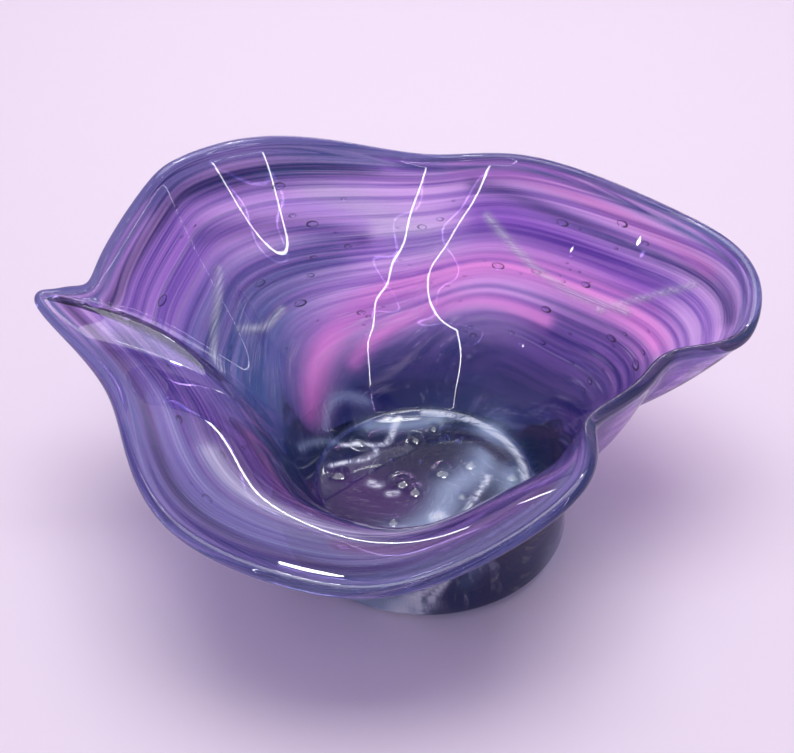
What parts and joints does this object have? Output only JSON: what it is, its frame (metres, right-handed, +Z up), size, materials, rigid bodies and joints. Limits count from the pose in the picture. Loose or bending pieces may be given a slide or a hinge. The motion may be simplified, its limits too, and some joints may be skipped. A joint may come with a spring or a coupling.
{
  "type": "art glass bowl",
  "caption": "Free-form blown glass bowl with swirled colour, a ruffled flared lip and a pulled-out ear.",
  "frame": {"origin": "centre of the flat underside of the foot, where the bowl stands on a table", "axes": "+Z up, +X towards the broad right-hand lobe of the lip, +Y towards the tall back wall, low flared lip at -Y"},
  "size_m": [0.2349, 0.1843, 0.108],
  "materials": {
    "swirled_glass": "gloss",
    "clear_glass": "gloss",
    "lip_glass": "gloss",
    "floor_glass": "gloss",
    "foot_glass": "satin"
  },
  "bodies": {
    "root": {"clear_casing": "clear_glass", "colour_layer": "swirled_glass", "lip_wrap": "lip_glass", "floor_disc": "floor_glass", "foot_disc": "foot_glass"}
  },
  "joints": []
}
